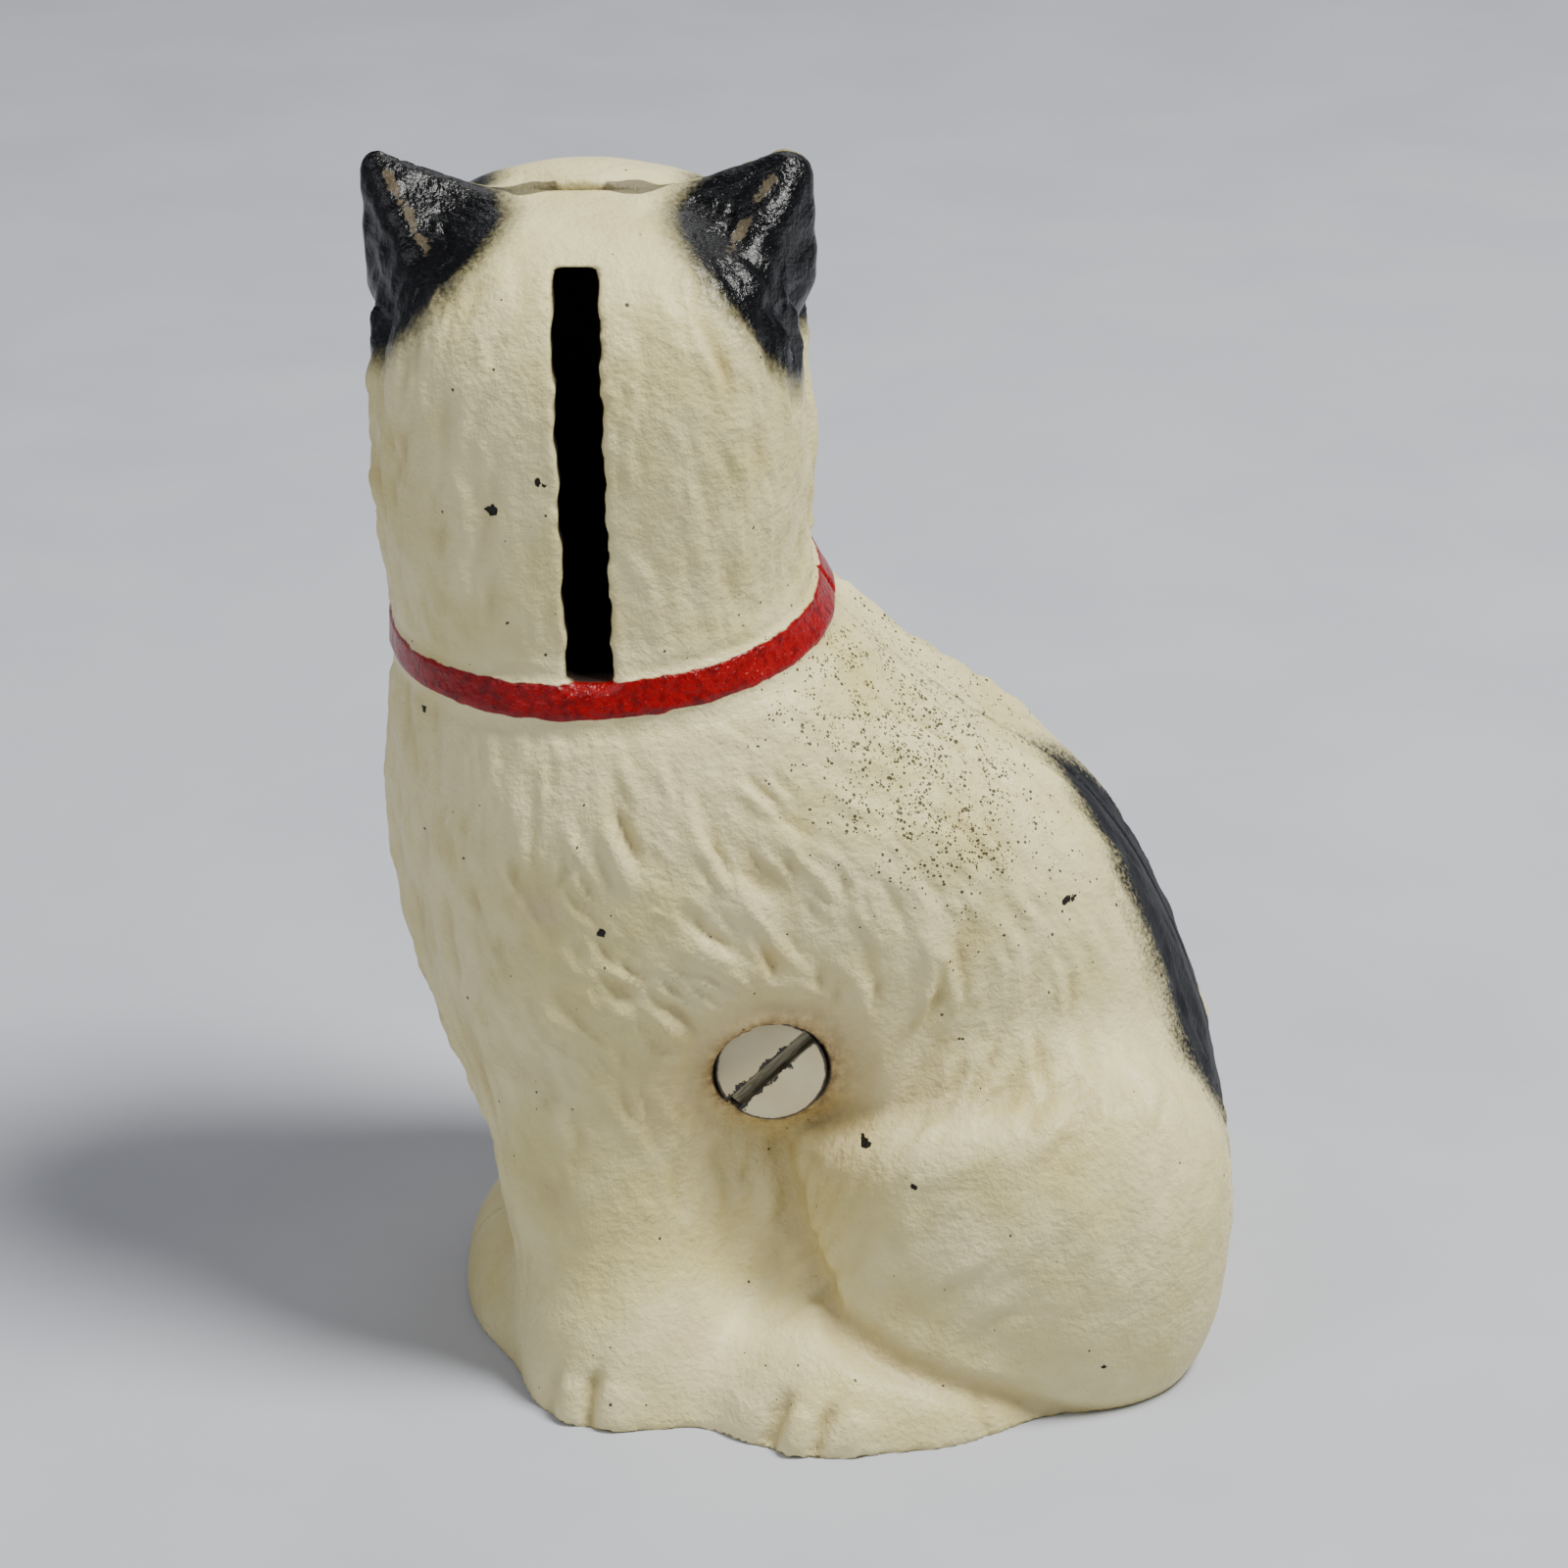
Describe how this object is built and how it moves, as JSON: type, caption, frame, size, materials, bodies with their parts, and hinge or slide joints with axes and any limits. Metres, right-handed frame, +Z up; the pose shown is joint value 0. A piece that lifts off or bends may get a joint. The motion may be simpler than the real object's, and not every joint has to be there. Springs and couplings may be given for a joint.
{
  "type": "cast iron still bank",
  "caption": "Seated cat coin bank in painted cast iron: two hollow halves closed by one flat-head screw, with a coin slot down the back of the head.",
  "frame": {"origin": "centre of the bounding box on the base plane", "axes": "+Z up the height of the cat, -X where the chest points, +Y where the face looks; the halves meet on the plane y = 0 and the coin slot faces -Y"},
  "size_m": [0.0777, 0.0662, 0.108],
  "materials": {
    "cream_enamel": "semi-gloss cream paint on cast iron, black and red painted details",
    "screw_steel": "dull steel, its head painted over"
  },
  "bodies": {
    "face_half": {"face_half": "cream_enamel"},
    "slot_half": {"slot_half": "cream_enamel"},
    "screw": {"screw": "screw_steel"}
  },
  "joints": [
    {"name": "half_off", "type": "slide", "parent": "face_half", "child": "slot_half", "axis": [0, -1, 0], "range_m": [0, 0.06]},
    {"name": "screw_turn", "type": "hinge", "parent": "slot_half", "child": "screw", "pos_m": [-0.0042, 0, 0.0314], "axis": [0, -1, 0], "range_deg": [0, 20416]}
  ],
  "couplings": [
    {"joint": "screw_turn", "follows": "half_off", "rad_per_m": 5937}
  ]
}
